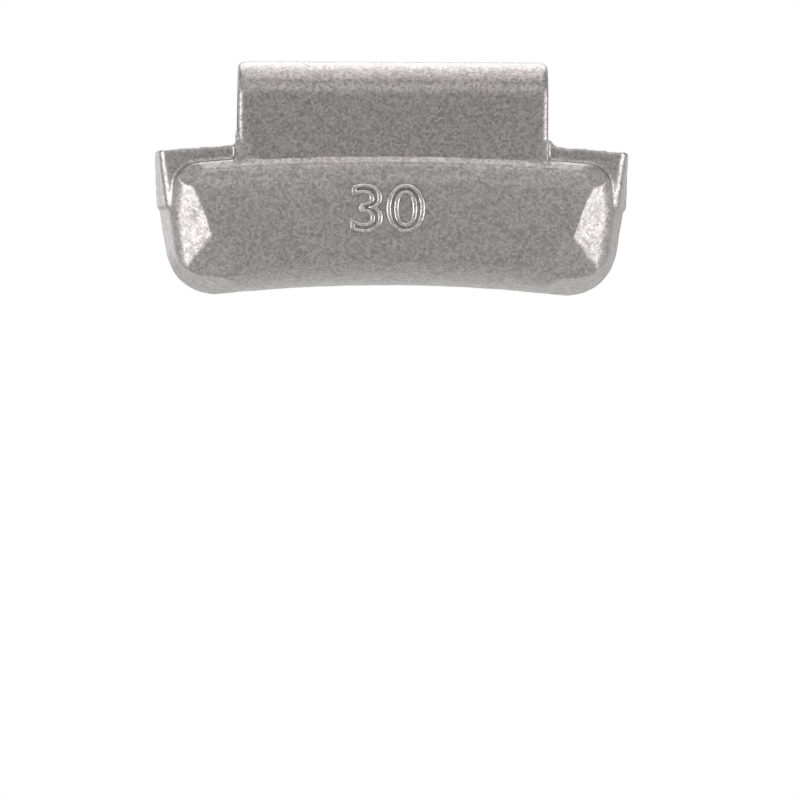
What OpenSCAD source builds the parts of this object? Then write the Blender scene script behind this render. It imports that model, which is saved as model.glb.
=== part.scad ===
// Clip-on wheel balance weight: a curved bar of heavy alloy, cast round the root of a spring steel strip.
// The origin is the middle of the flat face that sits on the rim. X runs along the bar, +Z points away
// from the wheel's axle, and the face that shows when the weight is fitted looks along -Y.

/* [Bar] */
// Length of the bar at the rim face, at its widest
bar_len = 38.2; // [34:0.1:70]
// Length that the bar keeps at its lower edge
bar_low_len = 35.8; // [30:0.1:66]
// Length that the bar keeps at its upper edge
bar_top_len = 37.4; // [33:0.1:68]
// Height of the bar and its rear layer, from the lower edge to the top
body_h = 11.9; // [10.5:0.1:16]
// Depth of the bar, from the rim face to the front
body_d = 6; // [5.6:0.1:8]
// How far the bar's upper edge lies below the rear layer's
front_drop = 1.2; // [0.8:0.1:1.8]
// Rise of the sloped underside, from the rim face to the front
under_rise = 2.1; // [1:0.1:3]
// Draft of the bar's ends, in degrees
end_draft = 12; // [4:0.5:16]
// Radius of the bar's lower corners at the rim face
low_corner_r = 4.6; // [2:0.1:5]
// Radius that those corners keep at the front
low_front_r = 2.3; // [1:0.1:3]
// Radius of the bar's upper corners
top_corner_r = 2; // [1:0.1:3]
// Radius along the upper front edge
front_top_r = 0.95; // [0.4:0.05:1.1]
// Radius along the lower front edge
front_low_r = 0.5; // [0.2:0.05:0.9]
// Depth of the slanted facet at each end of the front
facet_d = 1.15; // [0.6:0.05:1.4]
// Width of that facet at the upper edge
facet_top_w = 1.3; // [0.6:0.1:3]
// Width of that facet at the lower edge
facet_low_w = 2.9; // [0.6:0.1:4]

/* [Rear layer] */
// Length of the rear layer at the rim face, along its upper edge
ear_len = 39; // [35:0.1:72]
// How far the foot of each ear stands out from the bar's end
ear_foot = 0.2; // [0.1:0.05:0.6]
// Height of each ear
ear_h = 4.5; // [3:0.1:6]
// Draft of the ears' ends, in degrees
ear_draft = 4; // [1:0.5:8]
// Radius of the ears' corners, seen from the front
ear_corner_r = 0.5; // [0.2:0.05:1]
// Radius down the ears' front edges
ear_edge_r = 0.8; // [0.3:0.05:1]
// Radius along the top at the front
ear_front_r = 0.3; // [0.1:0.05:0.6]
// Radius along the top at the rim face
rim_edge_r = 0.8; // [0.3:0.05:1.2]

/* [Wheel] */
// Radius of the bar's upper side about the wheel's axle
top_bend_r = 200; // [150:1:260]
// Radius of the bar's lower side
low_bend_r = 130; // [110:1:220]

/* [Spring clip] */
// Width of the steel strip
clip_w = 25.4; // [15:0.1:28]
// Thickness of the steel strip
clip_t = 1.1; // [0.8:0.05:1.4]
// Depth from the rim face to the strip
clip_setback = 4; // [3.6:0.1:4.3]
// Height of the hook over the top of the casting
hook_h = 6.45; // [5.8:0.05:9]
// Inside radius of the first bend
bend_in_r = 1.85; // [1.4:0.05:2.2]
// Inside radius of the long curve that reaches over the rim
crown_in_r = 7.35; // [6.6:0.05:9]
// Turn of the first bend, in degrees
bend_turn = 99; // [92:1:106]
// Angle of the strip's end above the level, in degrees
tip_angle = 10; // [4:1:20]
// Radius of the corners at the strip's free end
tip_corner_r = 1; // [0.5:0.1:2]
// Length of strip held inside the casting
root_len = 7; // [6:0.1:8]
// Diameter of the holes in the root that lock it in the casting
lock_d = 2.6; // [1.5:0.1:3.5]
// Distance between those holes
lock_gap = 14; // [8:0.5:18]
// Width of the casting's fillet at each side of the strip
collar_w = 0.6; // [0.3:0.05:1]

/* [Fineness] */
// Segments in each rounded corner
corner_steps = 8; // [4:1:12]
// Segments in each half of the upper and lower edges
edge_steps = 7; // [4:1:12]
// Segments in each bend of the strip
bend_steps = 20; // [8:1:32]

/* [Hidden] */
$fn = 96;
top_z = body_h / 2;
low_z = -body_h / 2;
bar_top_z = top_z - front_drop;
ear_low_z = top_z - ear_h;
// How far up the bar its widest place lies, as a share of its height
wide_share = (ear_low_z - low_z) / (bar_top_z - low_z);
// The underside starts its slope this far from the rim face, and follows this radius
slope_start = 0.4;
slope_run = body_d - slope_start;
slope_r = (slope_run * slope_run + under_rise * under_rise) / (2 * under_rise);
// Where the first bend ends, and the centres of the two bends about [y, z]
bend_end = 180 - bend_turn;
bend_centre = [bend_in_r - clip_setback, top_z + hook_h - clip_t - bend_in_r];
crown_centre = bend_centre - (crown_in_r - bend_in_r) * [cos(bend_end), sin(bend_end)];
// Reach past a surface that a cut goes through
over = 1;
// An ear's foot slants out from the bar over this height
foot_h = 0.5;

function unit(v) = v / norm(v);
function mix(a, b, k) = a + (b - a) * k;
// Height lost at x on an arc whose crown is at x = 0
function sag(x, r) = r - sqrt(r * r - x * x);
// What a rounded edge of radius r takes off at the distance u before the face it ends in
function edge_loss(u, r) = u >= r ? 0 : r - sqrt(r * r - (r - u) * (r - u));

// The arc that rounds corner b between the straight runs towards a and c
function corner_arc(a, b, c, r) =
    let (u = unit(a - b), v = unit(c - b))
    let (half = acos(u * v) / 2, centre = b + unit(u + v) * r / sin(half))
    let (from = b + u * r / tan(half) - centre, turn = cross(b - a, c - b) > 0 ? 1 : -1)
    [for (i = [0:corner_steps])
        let (a0 = atan2(from.y, from.x) + turn * (180 - 2 * half) * i / corner_steps)
        centre + r * [cos(a0), sin(a0)]];

// Right half of an outline, from the middle of its lower edge to the middle of its upper edge
function half_outline(low, wide, side, top, low_r, top_r) =
    let (lower = corner_arc([0, low.y], low, wide, low_r), upper = corner_arc(side, top, [0, top.y], top_r))
    concat(
        [for (i = [0:edge_steps - 1]) [lower[0].x * i / edge_steps, low.y]],
        lower, [wide, side], upper,
        [for (i = [1:edge_steps]) [upper[corner_steps].x * (1 - i / edge_steps), top.y]]);

// The whole outline, the left half being the right half's mirror image
function outline(half) =
    concat(half, [for (i = [len(half) - 2:-1:1]) [-half[i].x, half[i].y]]);

// A point of the straight bar at depth d, carried to where the bent bar has it
function bent(p, d) =
    let (k = (p.y - low_z) / body_h)
    [p.x, -d, p.y - mix(sag(p.x, low_bend_r), sag(p.x, top_bend_r), k)];

// A closed skin over sections that all have the same number of points
module loft(sections) {
    n = len(sections[0]);
    last = len(sections) - 1;
    sides = [for (i = [0:last - 1], j = [0:n - 1])
        [i * n + j, (i + 1) * n + j, (i + 1) * n + (j + 1) % n, i * n + (j + 1) % n]];
    back = [for (j = [0:n - 1]) j];
    front = [for (j = [n - 1:-1:0]) last * n + j];
    polyhedron([for (s = sections, p = s) p], concat([back], sides, [front]));
}

// Section of the casting at depth d: the whole of it with its ears, or the bar alone
function section(d, eared) =
    let (ahead = body_d - d, facet = max(0, d - (body_d - facet_d)) / facet_d)
    let (draft = min(d, body_d - facet_d) * tan(end_draft))
    let (slope = sag(max(0, d - slope_start), slope_r) + edge_loss(ahead, front_low_r))
    let (low = [bar_low_len / 2 - draft - facet * facet_low_w, low_z + slope])
    let (wide = [bar_len / 2 - draft - facet * mix(facet_low_w, facet_top_w, wide_share), ear_low_z])
    let (bar_top = [bar_top_len / 2 - draft - facet * facet_top_w, bar_top_z - edge_loss(ahead, front_top_r)])
    let (bar_side = mix(wide, bar_top, foot_h / (bar_top.y - wide.y)))
    let (behind = clip_setback - d, edge = edge_loss(behind, ear_edge_r))
    let (ear_top_z = top_z - edge_loss(d, rim_edge_r) - edge_loss(behind, ear_front_r))
    let (ear_top = [ear_len / 2 - d * tan(ear_draft) - edge, ear_top_z])
    let (ear_side = [bar_side.x + ear_foot * (1 - edge / ear_edge_r), bar_side.y])
    let (low_r = mix(low_corner_r, low_front_r, d / body_d))
    let (half = eared
        ? half_outline(low, wide, ear_side, ear_top, low_r, ear_corner_r)
        : half_outline(low, wide, bar_side, bar_top, low_r, top_corner_r))
    [for (p = outline(half)) bent(p, d)];

module casting() {
    turn = [for (i = [0:corner_steps]) 90 * i / corner_steps];
    rim_side = [for (a = turn) rim_edge_r * (1 - cos(a))];
    ear_front = [for (a = turn) clip_setback - ear_edge_r * (1 - sin(a))];
    rounding = max(facet_d, front_top_r);
    front = [for (a = turn) body_d - rounding * (1 - sin(a))];
    loft(concat(
        [for (d = concat(rim_side, ear_front)) section(d, true)],
        [for (d = concat([clip_setback], front)) section(d, false)]));
}

// Metal that ran up beside the strip while the bar was cast
module collars() {
    seat_z = top_z - sag(clip_w / 2, top_bend_r);
    foot_z = bar_top_z - front_top_r;
    behind = clip_t / 2;
    for (side = [-1, 1]) {
        translate([side * clip_w / 2, behind - clip_setback, 0])
        rotate([90, 0, 0])
        linear_extrude(behind + clip_t)
        difference() {
            translate([side > 0 ? -over : -collar_w, foot_z])
            square([collar_w + over, seat_z + collar_w - foot_z]);
            translate([side * collar_w, seat_z + collar_w])
            circle(collar_w);
        }
    }
}

// Points round an arc about centre, from angle a0 to angle a1
function arc(centre, r, a0, a1) =
    [for (i = [0:bend_steps]) let (a = mix(a0, a1, i / bend_steps)) centre + r * [cos(a), sin(a)]];
function tail(list) = [for (i = [1:len(list) - 1]) list[i]];

// One face of the strip about [y, z], at the distance t from its inner face
function strip_face(t) =
    concat(
        [[-clip_setback - t, top_z - root_len]],
        arc(bend_centre, bend_in_r + t, 180, bend_end),
        tail(arc(crown_centre, crown_in_r + t, bend_end, tip_angle)));

module strip_profile() {
    inner = strip_face(0);
    polygon(concat(strip_face(clip_t), [for (i = [len(inner) - 1:-1:0]) inner[i]]));
}

// The strip's free end is cut to this outline, seen from the rim side
module tip_trim() {
    tip_z = crown_centre.y + crown_in_r * sin(tip_angle);
    for (side = [-1, 1]) {
        translate([side * (clip_w / 2 - tip_corner_r), 0, tip_z])
        rotate([-90, 0, 0])
        linear_extrude(crown_in_r)
        difference() {
            translate([side > 0 ? 0 : -tip_corner_r - over, -tip_corner_r])
            square([tip_corner_r + over, tip_corner_r + over]);
            translate([0, -tip_corner_r])
            circle(tip_corner_r);
        }
    }
}

module spring_strip() {
    difference() {
        rotate([90, 0, 90])
        linear_extrude(clip_w, center = true)
        strip_profile();
        for (side = [-1, 1]) {
            translate([side * lock_gap / 2, -clip_setback - clip_t / 2, top_z - root_len + lock_d])
            rotate([90, 0, 0])
            cylinder(h = clip_t + over, d = lock_d, center = true);
        }
        tip_trim();
    }
}

module cast_weight() {
    color([0.57, 0.56, 0.56])
    difference() {
        union() {
            casting();
            collars();
        }
        spring_strip();
    }
}

module spring_clip() {
    color([0.6, 0.59, 0.58])
    spring_strip();
}

cast_weight();
spring_clip();
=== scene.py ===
import math

import bmesh
import bpy
from mathutils import Matrix, Vector, geometry


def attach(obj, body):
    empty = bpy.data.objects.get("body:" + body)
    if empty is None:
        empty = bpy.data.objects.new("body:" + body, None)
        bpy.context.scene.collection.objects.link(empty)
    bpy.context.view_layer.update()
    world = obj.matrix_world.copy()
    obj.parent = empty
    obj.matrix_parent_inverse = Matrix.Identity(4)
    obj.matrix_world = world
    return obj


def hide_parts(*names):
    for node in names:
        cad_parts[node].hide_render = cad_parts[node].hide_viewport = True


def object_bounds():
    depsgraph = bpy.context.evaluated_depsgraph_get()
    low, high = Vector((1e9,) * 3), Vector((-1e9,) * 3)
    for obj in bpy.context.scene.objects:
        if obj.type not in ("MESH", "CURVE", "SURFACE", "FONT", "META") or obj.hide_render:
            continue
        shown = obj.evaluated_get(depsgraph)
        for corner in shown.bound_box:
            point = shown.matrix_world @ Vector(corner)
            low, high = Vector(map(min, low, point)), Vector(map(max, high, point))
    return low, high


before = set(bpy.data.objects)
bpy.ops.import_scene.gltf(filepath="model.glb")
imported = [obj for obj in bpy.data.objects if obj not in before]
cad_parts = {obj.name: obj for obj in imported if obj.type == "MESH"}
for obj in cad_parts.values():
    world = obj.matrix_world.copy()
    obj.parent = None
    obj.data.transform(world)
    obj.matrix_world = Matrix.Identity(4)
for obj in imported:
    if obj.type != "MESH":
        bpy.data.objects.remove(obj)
cad_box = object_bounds()
bpy.ops.object.select_all(action="DESELECT")


# The spring clip. One strip of 1.1 mm spring steel, blanked to width, so its outer edges are rolled over.
# It stands up out of the casting, turns through a tight bend and reaches over the rim in a long curve.
# Its root, with two holes for the alloy to run through, ends inside the bar. Sizes are in millimetres.
MM = 0.001
STRIP_W = 25.4
STRIP_T = 1.1
SETBACK = 4.0
ROOT_Z = -1.05
BEND_R = 1.85
BEND_Z = 9.45
BEND_TURN = math.radians(99)
CROWN_R = 7.35
CROWN_TURN = math.radians(71)
TIP_TURN = math.radians(9)
TIP_CORNER = 1.0
EDGE_ROLL = 0.8
EDGE_DROP = 0.5
ROLL_CUTS = (1, 0.8, 0.6, 0.42, 0.26, 0.13, 0.04)
INNER_ROUND = 0.15
WELD = 0.001
LOCK_D = 2.6
LOCK_X = 7.0
LOCK_Z = 1.55


def pick(piece, wanted, kind="verts"):
    """Selects, in edit mode, only the vertices or edges whose middle wanted() is true for."""
    shape = bmesh.from_edit_mesh(piece.data)
    for part in (*shape.faces, *shape.edges, *shape.verts):
        part.select = False
    for part in getattr(shape, kind):
        ends = [part.co] if kind == "verts" else [end.co for end in part.verts]
        part.select_set(wanted(sum(ends, Vector()) / len(ends)))
    shape.select_flush_mode()
    bmesh.update_edit_mesh(piece.data)


def modify(piece, kind, **settings):
    """Adds a modifier with these settings to a piece and applies it."""
    bpy.context.view_layer.objects.active = piece
    modifier = piece.modifiers.new(kind.lower(), kind)
    for name, value in settings.items():
        setattr(modifier, name, value)
    bpy.ops.object.modifier_apply(modifier=modifier.name)


def clean_up(piece, reach):
    """Merges what lies closer than reach, and mends the needles and pinholes that cutting left."""
    bpy.context.view_layer.objects.active = piece
    bpy.ops.object.mode_set(mode="EDIT")
    bpy.ops.mesh.select_all(action="SELECT")
    bpy.ops.mesh.remove_doubles(threshold=reach)
    bpy.ops.mesh.dissolve_degenerate(threshold=reach)
    bpy.ops.mesh.delete_loose()
    bpy.ops.mesh.select_all(action="SELECT")
    bpy.ops.mesh.fill_holes(sides=6)
    bpy.ops.object.mode_set(mode="OBJECT")


def smooth(piece, degrees):
    """Shades a piece smooth, apart from the edges that are sharper than this."""
    bpy.ops.object.select_all(action="DESELECT")
    piece.select_set(True)
    bpy.context.view_layer.objects.active = piece
    bpy.ops.object.shade_smooth_by_angle(angle=math.radians(degrees))


def to_metres(piece):
    """Brings a piece from millimetres to its true size, with its object left at the origin."""
    piece.data.transform(Matrix.Scale(MM, 4))
    piece.data.update()


bpy.ops.mesh.primitive_plane_add(size=1, rotation=(math.pi / 2, 0, 0))
clip = bpy.context.object
clip.name = "steel_strip"
clip.scale = (STRIP_W, BEND_Z - ROOT_Z, 1)
clip.location = (0, -SETBACK, (ROOT_Z + BEND_Z) / 2)
bpy.ops.object.transform_apply(location=True, rotation=True, scale=True)
bpy.ops.object.mode_set(mode="EDIT")
bpy.ops.mesh.select_mode(type="VERT")
pick(clip, lambda place: place.z > BEND_Z - STRIP_T)
bend_y = BEND_R - SETBACK
bpy.ops.mesh.spin(steps=24, angle=BEND_TURN, center=(0, bend_y, BEND_Z), axis=(1, 0, 0))
bend_end = math.pi - BEND_TURN
crown_y = bend_y - (CROWN_R - BEND_R) * math.cos(bend_end)
crown_z = BEND_Z - (CROWN_R - BEND_R) * math.sin(bend_end)
bpy.ops.mesh.spin(steps=26, angle=CROWN_TURN - TIP_TURN, center=(0, crown_y, crown_z), axis=(1, 0, 0))
bpy.ops.mesh.spin(steps=1, angle=TIP_TURN, center=(0, crown_y, crown_z), axis=(1, 0, 0))
tip_y = crown_y + CROWN_R * math.cos(bend_end - CROWN_TURN)
pick(clip, lambda place: place.y > tip_y - STRIP_T / 10)
bpy.ops.mesh.bevel(offset=TIP_CORNER, segments=6, affect="VERTICES")
bpy.ops.mesh.select_all(action="SELECT")
bpy.ops.mesh.remove_doubles(threshold=WELD)
bpy.ops.mesh.normals_make_consistent(inside=False)
for share in ROLL_CUTS:
    for side in (-1, 1):
        bpy.ops.mesh.select_all(action="SELECT")
        bpy.ops.mesh.bisect(plane_co=(side * (STRIP_W / 2 - share * EDGE_ROLL), 0, 0), plane_no=(1, 0, 0))
bpy.ops.object.mode_set(mode="OBJECT")

# The strip gets its thickness on the outer side, less and less of it over the last 0.8 mm of its width.
full = clip.vertex_groups.new(name="full_thickness")
for vertex in clip.data.vertices:
    rolled = max(0, (abs(vertex.co.x) - STRIP_W / 2) / EDGE_ROLL + 1)
    drop = EDGE_DROP * (1 - math.sqrt(max(0, 1 - rolled ** 2)))
    full.add([vertex.index], 1 - drop / STRIP_T, "REPLACE")
modify(clip, "SOLIDIFY", thickness=STRIP_T, offset=1, vertex_group="full_thickness")
modify(clip, "BEVEL", width=INNER_ROUND, segments=3, limit_method="ANGLE", angle_limit=math.radians(50))

for side in (-1, 1):
    bpy.ops.mesh.primitive_cylinder_add(
        vertices=48, radius=LOCK_D / 2, depth=4 * STRIP_T, rotation=(math.pi / 2, 0, 0),
        location=(side * LOCK_X, -SETBACK - STRIP_T / 2, LOCK_Z))
    punch = bpy.context.object
    modify(clip, "BOOLEAN", operation="DIFFERENCE", object=punch, solver="EXACT")
    bpy.data.objects.remove(punch)
clean_up(clip, 3 * WELD)


# The coat's values that all pieces share: how metallic it is, how far its mottle spreads, how much its
# flakes count beside its grain, where its tones lie, and the tint of its warmer places.
METALNESS = 0.72
MOTTLE = 3.2
FLAKE_SHARE = 0.45
TONE_STOPS = (0.25, 0.75)
WARM_TINT = (1, 0.94, 0.94, 1)


def flake_group():
    """Node group for a silver coat: bright flakes, sandy grain, and a soft mottle over both."""
    group = bpy.data.node_groups.new("silver_flake", "ShaderNodeTree")
    for name, kind in (("Place", "NodeSocketVector"), ("Flakes", "NodeSocketFloat"),
                       ("Grains", "NodeSocketFloat"), ("Mottles", "NodeSocketFloat")):
        group.interface.new_socket(name, in_out="INPUT", socket_type=kind)
    for name in ("Flake", "Grain", "Mottle", "Tone"):
        group.interface.new_socket(name, in_out="OUTPUT", socket_type="NodeSocketFloat")
    nodes, links = group.nodes, group.links
    source, result = nodes.new("NodeGroupInput"), nodes.new("NodeGroupOutput")

    flakes = nodes.new("ShaderNodeTexVoronoi")
    flakes.feature = "F1"
    shade = nodes.new("ShaderNodeSeparateColor")
    grain = nodes.new("ShaderNodeTexNoise")
    grain.inputs["Detail"].default_value = 3
    mottle = nodes.new("ShaderNodeTexNoise")
    mottle.inputs["Detail"].default_value = 2
    for texture, count in ((flakes, "Flakes"), (grain, "Grains"), (mottle, "Mottles")):
        links.new(source.outputs["Place"], texture.inputs["Vector"])
        links.new(source.outputs[count], texture.inputs["Scale"])

    tone = nodes.new("ShaderNodeMix")
    tone.data_type = "FLOAT"
    tone.inputs["Factor"].default_value = FLAKE_SHARE
    links.new(flakes.outputs["Color"], shade.inputs["Color"])
    links.new(grain.outputs["Fac"], tone.inputs["A"])
    links.new(shade.outputs["Red"], tone.inputs["B"])
    links.new(shade.outputs["Green"], result.inputs["Flake"])
    links.new(grain.outputs["Fac"], result.inputs["Grain"])
    links.new(mottle.outputs["Fac"], result.inputs["Mottle"])
    links.new(tone.outputs["Result"], result.inputs["Tone"])
    return group


silver_flake = flake_group()


def silver_coat(name, flake, grain, height, rough, dark, light):
    """Silver paint, with the size of its flakes and grain, the height of both, and its gloss and tones."""
    coat = bpy.data.materials.new(name)
    coat.use_nodes = True
    nodes, links = coat.node_tree.nodes, coat.node_tree.links
    paint = nodes["Principled BSDF"]
    paint.inputs["Metallic"].default_value = METALNESS
    place = nodes.new("ShaderNodeTexCoord")
    speckle = nodes.new("ShaderNodeGroup")
    speckle.node_tree = silver_flake
    for count, size in (("Flakes", flake), ("Grains", grain), ("Mottles", MOTTLE)):
        speckle.inputs[count].default_value = 1 / (size * MM)
    links.new(place.outputs["Object"], speckle.inputs["Place"])

    tone = nodes.new("ShaderNodeValToRGB")
    for stop, position, colour in zip(tone.color_ramp.elements, TONE_STOPS, (dark, light)):
        stop.position = position
        stop.color = (*colour, 1)
    links.new(speckle.outputs["Tone"], tone.inputs["Fac"])
    warmth = nodes.new("ShaderNodeMix")
    warmth.data_type = "RGBA"
    warmth.blend_type = "MULTIPLY"
    warmth.inputs["B"].default_value = WARM_TINT
    links.new(speckle.outputs["Mottle"], warmth.inputs["Factor"])
    links.new(tone.outputs["Color"], warmth.inputs["A"])
    links.new(warmth.outputs["Result"], paint.inputs["Base Color"])

    sheen = nodes.new("ShaderNodeMapRange")
    sheen.inputs["To Min"].default_value, sheen.inputs["To Max"].default_value = rough
    links.new(speckle.outputs["Flake"], sheen.inputs["Value"])
    links.new(sheen.outputs["Result"], paint.inputs["Roughness"])
    relief = nodes.new("ShaderNodeBump")
    relief.inputs["Distance"].default_value = height * MM
    links.new(speckle.outputs["Tone"], relief.inputs["Height"])
    links.new(relief.outputs["Normal"], paint.inputs["Normal"])
    return coat


# The strip's own coat is thin, so its grain is finer and flatter than the casting's.
clip_coat = silver_coat("clip_coat", flake=0.17, grain=0.3, height=0.011, rough=(0.27, 0.42),
                        dark=(0.129, 0.122, 0.122), light=(0.248, 0.236, 0.235))
clip.data.materials.append(clip_coat)
smooth(clip, 60)
to_metres(clip)
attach(clip, "root")
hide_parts("spring_clip")


# The casting. Lead alloy, poured in a two-part mould round the strip's root, then coated silver-grey.
# A bar with drafted ends and a sloped underside carries a thinner layer at the rim side, whose ends
# stand out as ears. The whole of it is bent to the rim's curve.
BAR_LEN = 38.2
BAR_LOW_LEN = 35.8
BAR_TOP_LEN = 37.4
BODY_H = 11.9
BODY_D = 6.0
TOP_Z = BODY_H / 2
LOW_Z = -BODY_H / 2
BAR_TOP_Z = TOP_Z - 1.2
EAR_FOOT_Z = TOP_Z - 4.5
EAR_LEN = 39.0
EAR_FOOT = 0.2
TOP_BEND_R = 200.0
LOW_BEND_R = 130.0
END_LEAN = math.tan(math.radians(12))
EAR_LEAN = math.tan(math.radians(4))
BLANK = 20.0
SPARE = 0.6
SLICE = 1.0
VOXEL = 0.14
DENT_SPREAD = 1.6
DENT_DEPTH = 0.09


def block(name, low, high):
    """Adds a plain block between two corners and leaves it in edit mode, to be cut to shape."""
    bpy.ops.mesh.primitive_cube_add(size=1)
    piece = bpy.context.object
    piece.name = name
    piece.scale = Vector(high) - Vector(low)
    piece.location = (Vector(high) + Vector(low)) / 2
    bpy.ops.object.transform_apply(location=True, rotation=True, scale=True)
    bpy.ops.object.mode_set(mode="EDIT")
    return piece


def slice_up(piece, step, reach):
    """Cuts a piece across its length every step, so that it can bend."""
    bpy.context.view_layer.objects.active = piece
    bpy.ops.object.mode_set(mode="EDIT")
    for i in range(1, round(2 * reach / step)):
        bpy.ops.mesh.select_all(action="SELECT")
        bpy.ops.mesh.bisect(plane_co=(i * step - reach, 0, 0), plane_no=(1, 0, 0))
    bpy.ops.object.mode_set(mode="OBJECT")


def plane(point, along, across):
    """The plane through a point and two directions, with its normal turned away from the bar's middle."""
    point = Vector(point)
    normal = Vector(along).cross(Vector(across)).normalized()
    if normal.dot(point - Vector((0, -BODY_D / 3, 0))) < 0:
        normal.negate()
    return point, normal


def shave(flat, both=False):
    """Cuts off what lies beyond a plane, at one end or at both."""
    point, normal = flat
    for side in (1, -1) if both else (1,):
        mirror = Vector((side, 1, 1))
        bpy.ops.mesh.select_all(action="SELECT")
        bpy.ops.mesh.bisect(
            plane_co=point * mirror, plane_no=normal * mirror, use_fill=True, clear_outer=True)
    return flat


def round_off(one, other, radius, steps, both=False):
    """Rounds the edge where two planes meet, as a row of narrow flats."""
    meeting, _ = geometry.intersect_plane_plane(*one, *other)
    centre = meeting - (one[1] + other[1]) * radius / (1 + one[1].dot(other[1]))
    for i in range(steps):
        normal = one[1].slerp(other[1], (i + 0.5) / steps)
        shave((centre + normal * radius, normal), both)


def bend_to_rim(piece):
    """Lets every point of the straight casting drop to where the bent one has it."""
    for vertex in piece.data.vertices:
        x, z = vertex.co.x, vertex.co.z
        low_drop = LOW_BEND_R - math.sqrt(LOW_BEND_R ** 2 - x * x)
        top_drop = TOP_BEND_R - math.sqrt(TOP_BEND_R ** 2 - x * x)
        vertex.co.z -= low_drop + (top_drop - low_drop) * (z - LOW_Z) / BODY_H


# The bar's ends lean in from the rim side, and from their widest place up and down. The front leans back
# above, more and more from each of these heights on, and a crest cuts its top edge.
BROWS = (
    # from this height, set back by this much, leaning back by this many degrees
    (-0.5, 0, 1.5),
    (1.2, 0.045, 5),
    (2.6, 0.17, 10))
CREST_AT = (0, -5.58, 4.07)
CREST_SLOPE = 1.19
TOP_CORNER_R = 2.0
BROW_R = 0.6
CREST_R = 0.3
bar = block("bar", (-BLANK, -BODY_D, LOW_Z), (BLANK, SPARE, BAR_TOP_Z))
draft = (-END_LEAN, -1, 0)
low_lean = ((BAR_LOW_LEN - BAR_LEN) / 2, 0, LOW_Z - EAR_FOOT_Z)
top_lean = ((BAR_TOP_LEN - BAR_LEN) / 2, 0, BAR_TOP_Z - EAR_FOOT_Z)
low_end = shave(plane((BAR_LEN / 2, 0, EAR_FOOT_Z), draft, low_lean), both=True)
top_end = shave(plane((BAR_LEN / 2, 0, EAR_FOOT_Z), draft, top_lean), both=True)
front = (Vector((0, -BODY_D, 0)), Vector((0, -1, 0)))
top = (Vector((0, 0, BAR_TOP_Z)), Vector((0, 0, 1)))
for start, back, lean in BROWS:
    brow = shave(plane((0, back - BODY_D, start), (1, 0, 0), (0, math.tan(math.radians(lean)), 1)))
crest = shave(plane(CREST_AT, (1, 0, 0), (0, 1, CREST_SLOPE)))
round_off(top_end, top, TOP_CORNER_R, 7, both=True)
round_off(brow, crest, BROW_R, 4)
round_off(crest, top, CREST_R, 3)

# Large lower corners, which get tighter from the rim side to the front.
RIM_CORNER, RIM_CORNER_R = Vector((13.95, 0, -1.35)), 4.6
FRONT_CORNER, FRONT_CORNER_R = Vector((15.0, -BODY_D, -1.55)), 2.3
CORNER_TURNS = range(-20, -80, -6)
for degrees in CORNER_TURNS:
    turn = Vector((math.cos(math.radians(degrees)), 0, math.sin(math.radians(degrees))))
    at_rim = RIM_CORNER + RIM_CORNER_R * turn
    at_front = FRONT_CORNER + FRONT_CORNER_R * turn
    shave(plane(at_rim, at_front - at_rim, (-turn.z, 0, turn.x)), both=True)

# The underside slopes up to the front on a long arc.
SLOPE_R = 8.52
SLOPE_START = 0.4
SLOPE_TURNS = range(3, 42, 3)
SLOPE_EDGE_R = 0.4
for degrees in SLOPE_TURNS:
    lean = math.radians(degrees)
    foot = (0, -SLOPE_START - SLOPE_R * math.sin(lean), LOW_Z + SLOPE_R * (1 - math.cos(lean)))
    slope = shave(plane(foot, (1, 0, 0), (0, -math.cos(lean), math.sin(lean))))
round_off(slope, front, SLOPE_EDGE_R, 4)

# A slanted facet, wider below, cuts each end of the front. Above and below it the corner turns away, at a
# plane through the facet's own corner, a point of the front and a point of the facet's plane.
FACET_SIDE_R = 3.0
FACET_EDGE_R = 0.3
LOW_TURN = ((12.6, -3.2), (16.3, -2.9))
TOP_TURN = ((15.0, 3.6), (17.35, 3.1))
facet_low = Vector((14.7, -BODY_D, -1.15))
facet_top = Vector((15.95, -BODY_D, 2.75))
facet_side = Vector((17.8, -BODY_D + 1.15, 2.75))
facet = shave(plane(facet_top, facet_low - facet_top, facet_side - facet_top), both=True)
round_off(low_end, facet, FACET_SIDE_R, 9, both=True)
round_off(top_end, facet, FACET_SIDE_R, 9, both=True)
for inner, (turned, spread) in ((facet_low, LOW_TURN), (facet_top, TOP_TURN)):
    across, up = spread[0] - inner.x, spread[1] - inner.z
    back = -(facet[1].x * across + facet[1].z * up) / facet[1].y
    along_front = Vector((turned[0] - inner.x, 0, turned[1] - inner.z))
    shave(plane(inner, along_front, (across, back, up)), both=True)
round_off(front, facet, FACET_EDGE_R, 3, both=True)
bpy.ops.object.mode_set(mode="OBJECT")

# The layer behind the bar reaches up to the strip's inner face. Its ears lean in like the bar at their
# feet and less at their tops. Their front edges are rounded, and so is the layer's upper edge at the rim.
EAR_EDGE_R = 0.75
SEAT_EDGE_R = 0.8
ear = block("rear_layer", (-BLANK, -SETBACK, EAR_FOOT_Z), (BLANK, SPARE, TOP_Z))
for vertex in bmesh.from_edit_mesh(ear.data).verts:
    high = vertex.co.z > EAR_FOOT_Z + 1
    depth = -vertex.co.y
    half = EAR_LEN / 2 - depth * EAR_LEAN if high else BAR_LEN / 2 + EAR_FOOT - depth * END_LEAN
    vertex.co.x = math.copysign(half, vertex.co.x)
bpy.ops.mesh.select_mode(type="EDGE")
pick(ear, lambda at: abs(at.x) > BAR_LEN / 4 and at.y < -SETBACK * 0.9, "edges")
bpy.ops.mesh.bevel(offset=EAR_EDGE_R, segments=6)
bpy.ops.mesh.select_mode(type="VERT")
seat = (Vector(), Vector((0, 1, 0)))
round_off((Vector((0, 0, TOP_Z)), Vector((0, 0, 1))), seat, SEAT_EDGE_R, 6)
bpy.ops.object.mode_set(mode="OBJECT")

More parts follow.
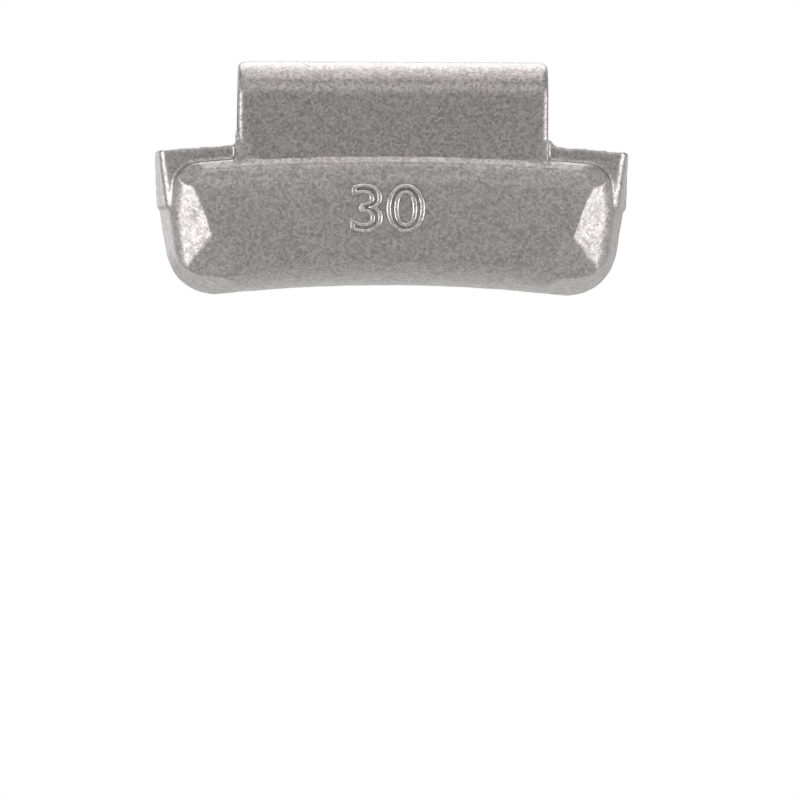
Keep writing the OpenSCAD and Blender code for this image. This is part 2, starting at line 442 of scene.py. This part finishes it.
# Metal crept up the strip's edges as the bar was poured. A thin cover laps over the front of each edge.
# A flash stands up on the left, and a small hollow fillet on the right.
FLASH_X = STRIP_W / 2 + 0.22
FLASH_TOP = 7.35
FLASH_IN = 1
FLASH_INSET = 0.4
FLASH_CUT = (0.22, 0.45)
COVER_IN = 1.9
COVER_OUT = 0.03
COVER_T = 0.14
COVER_SINK = 0.1
COVER_FOLD = 5.1
COVER_LEAN = (0, 0.22, 1.4)
COVER_TOP = 6.45
COVER_TOP_INSET = 0.3
COVER_TOP_FALL = (0, 1.1, -1.0)
FILLET_R = 1.0
FILLET_X = STRIP_W / 2 + 1.1
FILLET_IN = 0.4
FILLET_SINK = 0.03
FILLET_H = 0.55
FILLET_FRONT = 0.15
FILLET_BACK = 0.45
FILLET_END = 0.05
CREEP_INSET = 0.02
CREEP_ROOT = 0.6
strip_front = -SETBACK - STRIP_T
creep_back = -SETBACK - CREEP_INSET
creep_foot = BAR_TOP_Z - CREEP_ROOT
layers = []
for side in (-1, 1):
    near = side * (STRIP_W / 2 - COVER_IN)
    far = STRIP_W / 2 + COVER_OUT if side > 0 else -FLASH_X
    cover = block("cover", (min(near, far), strip_front - COVER_T, creep_foot),
                  (max(near, far), creep_back, COVER_TOP))
    for vertex in bmesh.from_edit_mesh(cover.data).verts:
        if abs(vertex.co.x) < STRIP_W / 2 and vertex.co.y < -SETBACK:
            vertex.co.y = strip_front + COVER_SINK
    shave(plane((0, strip_front - COVER_T, COVER_FOLD), (1, 0, 0), COVER_LEAN))
    shave(plane((0, strip_front + COVER_TOP_INSET, COVER_TOP), (1, 0, 0), COVER_TOP_FALL))
    bpy.ops.object.mode_set(mode="OBJECT")
    layers.append(cover)
flash = block("flash", (-FLASH_X, strip_front + FLASH_INSET, creep_foot),
              (FLASH_IN - STRIP_W / 2, creep_back, FLASH_TOP))
shave(plane((-FLASH_X, 0, FLASH_TOP - FLASH_CUT[1]), (0, 1, 0), (FLASH_CUT[0], 0, FLASH_CUT[1])))
bpy.ops.object.mode_set(mode="OBJECT")
fillet = block("fillet", (STRIP_W / 2 - FILLET_IN, -SETBACK - FILLET_FRONT, BAR_TOP_Z),
               (FILLET_X, -SETBACK + FILLET_BACK, TOP_Z + FILLET_H))
for vertex in bmesh.from_edit_mesh(fillet.data).verts:
    if vertex.co.x > STRIP_W / 2 and vertex.co.y < -SETBACK:
        vertex.co.y = -SETBACK + FILLET_END
bpy.ops.object.mode_set(mode="OBJECT")
bpy.ops.mesh.primitive_cylinder_add(
    vertices=64, radius=FILLET_R, depth=BODY_D, rotation=(math.pi / 2, 0, 0),
    location=(FILLET_X, -SETBACK, TOP_Z + FILLET_R - FILLET_SINK))
hollow = bpy.context.object
modify(fillet, "BOOLEAN", operation="DIFFERENCE", object=hollow, solver="EXACT")
bpy.data.objects.remove(hollow)
layers += [flash, fillet, ear, bar]

for layer in layers:
    slice_up(layer, SLICE, BLANK)
    bend_to_rim(layer)
bpy.ops.object.select_all(action="DESELECT")
for layer in layers:
    layer.select_set(True)
bpy.context.view_layer.objects.active = bar
bpy.ops.object.join()
casting = bar
casting.name = "alloy_casting"
modify(casting, "REMESH", mode="VOXEL", voxel_size=VOXEL, use_smooth_shade=True)
modify(casting, "SMOOTH", factor=0.5, iterations=5)

# The mould left the skin uneven. The face at the rim, cut after that, is flat. The strip's own shape is
# then taken out of the casting, so that both meet without a gap.
dents = bpy.data.textures.new("dents", "CLOUDS")
dents.noise_scale = DENT_SPREAD
dents.noise_depth = 2
modify(casting, "DISPLACE", texture=dents, strength=DENT_DEPTH, mid_level=0.5)
bpy.ops.object.mode_set(mode="EDIT")
shave(seat)
bpy.ops.object.mode_set(mode="OBJECT")
to_metres(casting)
modify(casting, "BOOLEAN", operation="DIFFERENCE", object=clip, solver="EXACT")
clean_up(casting, 10 * WELD * MM)
smooth(casting, 40)

cast_coat = silver_coat("cast_coat", flake=0.18, grain=0.34, height=0.014, rough=(0.28, 0.42),
                        dark=(0.153, 0.148, 0.145), light=(0.267, 0.26, 0.256))
casting.data.materials.clear()
casting.data.materials.append(cast_coat)
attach(casting, "root")
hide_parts("cast_weight")


# The raised number on the front, cast with the bar: the outline of each digit is a thin bead of alloy.
# It gives the weight's size in grams. It stands proud, and its coat is given lighter tones than the bar's:
# a painted highlight for the light its beads catch.
NUMBER_W = 6.2
NUMBER_H = 4.1
NUMBER_AT = (-0.45, -5.99, 0.38)
NUMBER_LEAN = 0.03
DIGIT_SIZE = 5.8
BEAD_R = 0.22
bpy.ops.object.text_add()
number = bpy.context.object
number.name = "raised_number"
number.data.body = "30"
number.data.fill_mode = "NONE"
number.data.resolution_u = 8
number.data.size = DIGIT_SIZE
number.data.bevel_depth = BEAD_R
number.data.bevel_resolution = 2
bpy.ops.object.convert(target="MESH")
corners = [Vector(corner) for corner in number.bound_box]
middle = (corners[0] + corners[6]) / 2
reach = corners[6] - corners[0]
for vertex in number.data.vertices:
    x = (vertex.co.x - middle.x) * NUMBER_W / reach.x
    z = (vertex.co.y - middle.y) * NUMBER_H / reach.y
    vertex.co = Vector(NUMBER_AT) + Vector((x, max(0, z) * NUMBER_LEAN - vertex.co.z, z))
bpy.ops.object.mode_set(mode="EDIT")
bpy.ops.mesh.select_all(action="SELECT")
bpy.ops.mesh.remove_doubles(threshold=WELD)
bpy.ops.mesh.normals_make_consistent(inside=False)
bpy.ops.object.mode_set(mode="OBJECT")
smooth(number, 60)
# Lighter tones than the cast coat: painted highlight on the raised digits.
number_painted_highlight_coat = silver_coat("number_painted_highlight_coat", flake=0.18, grain=0.34, height=0.006, rough=(0.22, 0.36),
                          dark=(0.2, 0.193, 0.19), light=(0.37, 0.36, 0.355))
number.data.materials.clear()
number.data.materials.append(number_painted_highlight_coat)
to_metres(number)
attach(number, "root")


# The stand: a pale floor well below the weight, as it hangs on its rim. Near the weight the floor keeps
# its shadow, and further off it goes over into the white of the surround.
FLOOR_SIZE = 6.0
FLOOR_DROP = 0.055
FADE_START = 0.05
FADE_END = 0.2
WHITE_NEAR = 0.88
bpy.ops.mesh.primitive_plane_add(size=FLOOR_SIZE, location=(0, 0, cad_box[0][2] - FLOOR_DROP))
floor = bpy.context.object
floor.name = "floor"


def seen(nodes, links):
    """Says whether a ray is one that shows the background: to the lens, in gloss or through glass."""
    path = nodes.new("ShaderNodeLightPath")
    total = path.outputs["Is Camera Ray"]
    for ray in ("Is Glossy Ray", "Is Transmission Ray"):
        either = nodes.new("ShaderNodeMath")
        either.operation = "MAXIMUM"
        links.new(total, either.inputs[0])
        links.new(path.outputs[ray], either.inputs[1])
        total = either.outputs[0]
    return total


def pale_floor():
    """Matt white that turns into the background's white away from the weight."""
    pale = bpy.data.materials.new("pale_floor")
    pale.use_nodes = True
    nodes, links = pale.node_tree.nodes, pale.node_tree.links
    matt = nodes["Principled BSDF"]
    matt.inputs["Base Color"].default_value = (0.86, 0.86, 0.86, 1)
    matt.inputs["Roughness"].default_value = 0.8
    place = nodes.new("ShaderNodeTexCoord")
    away = nodes.new("ShaderNodeVectorMath")
    away.operation = "LENGTH"
    fade = nodes.new("ShaderNodeMapRange")
    fade.inputs["From Min"].default_value = FADE_START
    fade.inputs["From Max"].default_value = FADE_END
    fade.inputs["To Min"].default_value = WHITE_NEAR
    white = nodes.new("ShaderNodeEmission")
    share = nodes.new("ShaderNodeMath")
    share.operation = "MULTIPLY"
    mixed = nodes.new("ShaderNodeMixShader")
    links.new(place.outputs["Object"], away.inputs[0])
    links.new(away.outputs["Value"], fade.inputs["Value"])
    links.new(fade.outputs["Result"], share.inputs[0])
    links.new(seen(nodes, links), share.inputs[1])
    links.new(share.outputs[0], mixed.inputs["Fac"])
    links.new(matt.outputs["BSDF"], mixed.inputs[1])
    links.new(white.outputs["Emission"], mixed.inputs[2])
    links.new(mixed.outputs["Shader"], nodes["Material Output"].inputs["Surface"])
    return pale


floor.data.materials.append(pale_floor())


# The light: a white surround, and lamps of plain strength that the slanted and rounded faces throw back.
# Two soft boxes stand beside the weight for its slanted ends, and two hang over it for the clip's bend
# and the bar's top edge. Weaker ones fill in the front, the underside and the left end.
def surround(strength):
    """World that shows white, and lights matt surfaces at this strength."""
    world = bpy.data.worlds.new("surround")
    world.use_nodes = True
    bpy.context.scene.world = world
    nodes, links = world.node_tree.nodes, world.node_tree.links
    background = nodes["Background"]
    background.inputs["Color"].default_value = (1, 1, 1, 1)
    level = nodes.new("ShaderNodeMapRange")
    level.inputs["To Min"].default_value = strength
    links.new(seen(nodes, links), level.inputs["Value"])
    links.new(level.outputs["Result"], background.inputs["Strength"])


surround(strength=0.55)


def soft_box(name, place, size, brightness):
    """Rectangular lamp of this brightness, turned to face the weight. White is 1."""
    lamp = bpy.data.lights.new(name, "AREA")
    lamp.shape = "RECTANGLE"
    lamp.size, lamp.size_y = size
    lamp.energy = brightness * math.pi * size[0] * size[1]
    box = bpy.data.objects.new(name, lamp)
    box.location = place
    box.rotation_euler = (-Vector(place)).to_track_quat("-Z", "Y").to_euler()
    box.visible_camera = False
    bpy.context.collection.objects.link(box)


soft_box("left_box", place=(-0.16, -0.06, -0.008), size=(0.09, 0.105), brightness=7.1)
soft_box("right_box", place=(0.16, -0.06, -0.008), size=(0.09, 0.105), brightness=6.5)
soft_box("back_box", place=(0, 0.17, 0.25), size=(0.35, 0.26), brightness=4.2)
soft_box("top_box", place=(0, -0.037, 0.297), size=(0.35, 0.2), brightness=2.35)
soft_box("front_box", place=(0, -0.22, 0.155), size=(0.4, 0.09), brightness=1.75)
soft_box("low_box", place=(0, 0.03, -0.055), size=(0.3, 0.08), brightness=0.3)
soft_box("left_back_box", place=(-0.17, 0.24, 0.0), size=(0.1, 0.2), brightness=1.3)


# The camera looks nearly straight at the front, from a little to the left and above. It aims below the
# weight, which stands high in the picture.
CAMERA_RANGE = 0.90
CAMERA_LENS = 495
CAMERA_SENSOR = 36
CAMERA_TURN = math.radians(1.5)
CAMERA_RISE = math.radians(1)
CAMERA_ROLL = math.radians(0.27)
AIM = Vector((0.00065, -0.0051, -0.0153))
camera_lens = bpy.data.cameras.new("camera")
camera_lens.sensor_width = CAMERA_SENSOR
camera_lens.lens = CAMERA_LENS
camera = bpy.data.objects.new("camera", camera_lens)
bpy.context.collection.objects.link(camera)
back = Vector((-math.sin(CAMERA_TURN), -math.cos(CAMERA_TURN), math.tan(CAMERA_RISE)))
camera.location = AIM + back * CAMERA_RANGE
camera.rotation_euler = (-back).to_track_quat("-Z", "Y").to_euler()
camera.rotation_euler.rotate_axis("Z", CAMERA_ROLL)
bpy.context.scene.camera = camera
bpy.context.scene.view_settings.view_transform = "Standard"
